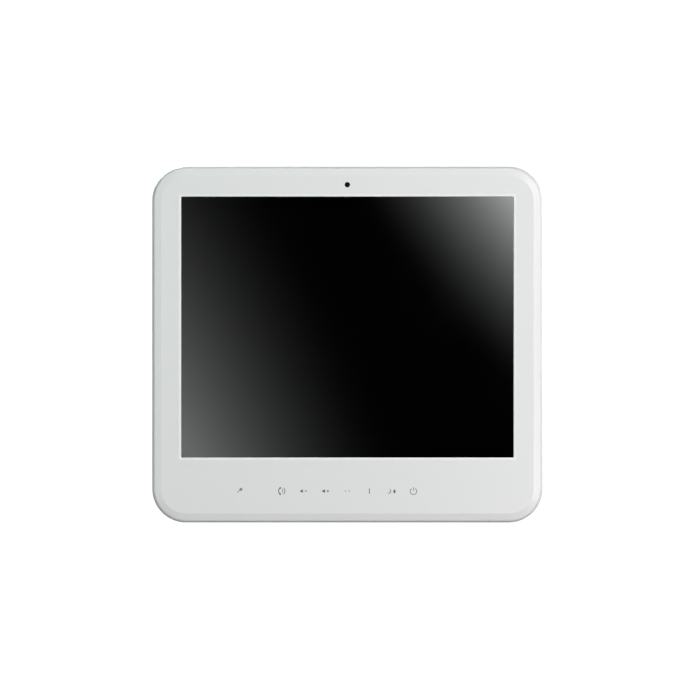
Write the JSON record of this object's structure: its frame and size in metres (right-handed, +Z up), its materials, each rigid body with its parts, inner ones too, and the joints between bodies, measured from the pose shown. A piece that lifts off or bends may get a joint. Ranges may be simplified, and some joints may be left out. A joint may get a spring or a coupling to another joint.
{
  "type": "video intercom monitor",
  "caption": "Wall-hung video intercom monitor: white rounded casing, black display glass, touch-key row below, camera above, hung on a steel bracket.",
  "frame": {"origin": "centre of the wall bracket on the wall plane", "axes": "+Z up, +X to the user's right, -Y towards the user; the wall is the plane Y = 0"},
  "size_m": [0.266, 0.038, 0.2426],
  "materials": {
    "white_plastic": "injection-moulded white ABS, satin gloss",
    "black_glass": "black-printed cover glass, polished",
    "zinc_steel": "pre-galvanised sheet steel",
    "bright_steel": "stamped stainless sheet",
    "screw_steel": "nickel-plated steel",
    "brass": "turned brass",
    "black_foam": "black foam and adhesive tape",
    "conductive_foam": "conductive foam",
    "rubber_part": "moulded rubber",
    "film": "diffuser and prism films",
    "clear_plastic": "clear acrylic",
    "circuit_board": "glass-epoxy board with solder mask",
    "black_plastic": "moulded black plastic",
    "black_aluminium": "black anodised extrusion",
    "can_aluminium": "drawn aluminium can",
    "ferrite": "ferrite",
    "green_plastic": "moulded green polyamide",
    "blue_plastic": "moulded blue plastic",
    "white_slider": "moulded white plastic",
    "button_plastic": "moulded red plastic",
    "camera_glass": "tinted window",
    "lens_glass": "coated lens",
    "cone_paper": "treated paper",
    "socket_plastic": "moulded ivory plastic",
    "flat_cable": "flat flexible cable",
    "wire_insulation": "insulated wire",
    "label_film": "blank silver film label",
    "sign_ink": "screen-printed ink"
  },
  "bodies": {
    "wall_bracket": {"wall_bracket": "zinc_steel"},
    "monitor": {"blank_label": "label_film", "board_screws": "screw_steel", "board_standoffs": "brass", "cable_sockets": "socket_plastic", "camera_barrel": "black_plastic", "camera_board": "circuit_board", "camera_cable": "flat_cable", "camera_lens": "lens_glass", "camera_screws": "screw_steel", "camera_window": "camera_glass", "capacitors": "can_aluminium", "chassis_plate": "zinc_steel", "chassis_screws": "screw_steel", "coin_cell": "bright_steel", "coin_cell_holder": "black_plastic", "cover_glass": "black_glass", "cover_screws": "screw_steel", "dip_housing": "blue_plastic", "display_gasket": "black_foam", "front_bezel": "white_plastic", "glass_tape": "black_foam", "heat_sink": "black_aluminium", "key_board": "circuit_board", "key_board_screws": "screw_steel", "key_cable": "flat_cable", "key_pads": "conductive_foam", "lcd_cable": "flat_cable", "lcd_cell": "black_glass", "lcd_driver_board": "circuit_board", "lcd_films": "film", "lcd_front_frame": "bright_steel", "lcd_light_bar": "circuit_board", "lcd_light_guide": "clear_plastic", "lcd_rear_tray": "bright_steel", "main_board": "circuit_board", "memory_chips": "black_plastic", "microphone": "can_aluminium", "microphone_boot": "rubber_part", "power_inductors": "ferrite", "processor": "black_plastic", "rear_cover": "white_plastic", "rear_pads": "rubber_part", "reset_housing": "black_plastic", "signal_chips": "black_plastic", "speaker_basket": "black_plastic", "speaker_cone": "cone_paper", "speaker_gasket": "black_foam", "speaker_magnet": "ferrite", "speaker_screws": "screw_steel", "speaker_wires": "wire_insulation", "terminal_header": "green_plastic", "terminal_pins": "brass"},
    "terminal_plug": {"terminal_plug": "green_plastic", "clamp_screws": "screw_steel"},
    "reset_button": {"reset_button": "button_plastic"},
    "dip_slider_1": {"dip_slider_1": "white_slider"},
    "dip_slider_2": {"dip_slider_2": "white_slider"},
    "dip_slider_3": {"dip_slider_3": "white_slider"},
    "dip_slider_4": {"dip_slider_4": "white_slider"}
  },
  "joints": [
    {"name": "monitor_lift", "type": "slide", "parent": "wall_bracket", "child": "monitor", "axis": [0, 0, 1], "range_m": [0, 0.009]},
    {"name": "terminal_unplug", "type": "slide", "parent": "monitor", "child": "terminal_plug", "axis": [0, 1, 0], "range_m": [0, 0.008]},
    {"name": "dip_switch_1", "type": "slide", "parent": "monitor", "child": "dip_slider_1", "axis": [0, 0, 1], "range_m": [0, 0.0016]},
    {"name": "dip_switch_2", "type": "slide", "parent": "monitor", "child": "dip_slider_2", "axis": [0, 0, 1], "range_m": [0, 0.0016]},
    {"name": "dip_switch_3", "type": "slide", "parent": "monitor", "child": "dip_slider_3", "axis": [0, 0, 1], "range_m": [0, 0.0016]},
    {"name": "dip_switch_4", "type": "slide", "parent": "monitor", "child": "dip_slider_4", "axis": [0, 0, 1], "range_m": [0, 0.0016]},
    {"name": "reset_press", "type": "slide", "parent": "monitor", "child": "reset_button", "axis": [0, -1, 0], "range_m": [0, 0.00025], "stiffness_N_per_m": 4000, "springref_m": -0.0001}
  ]
}
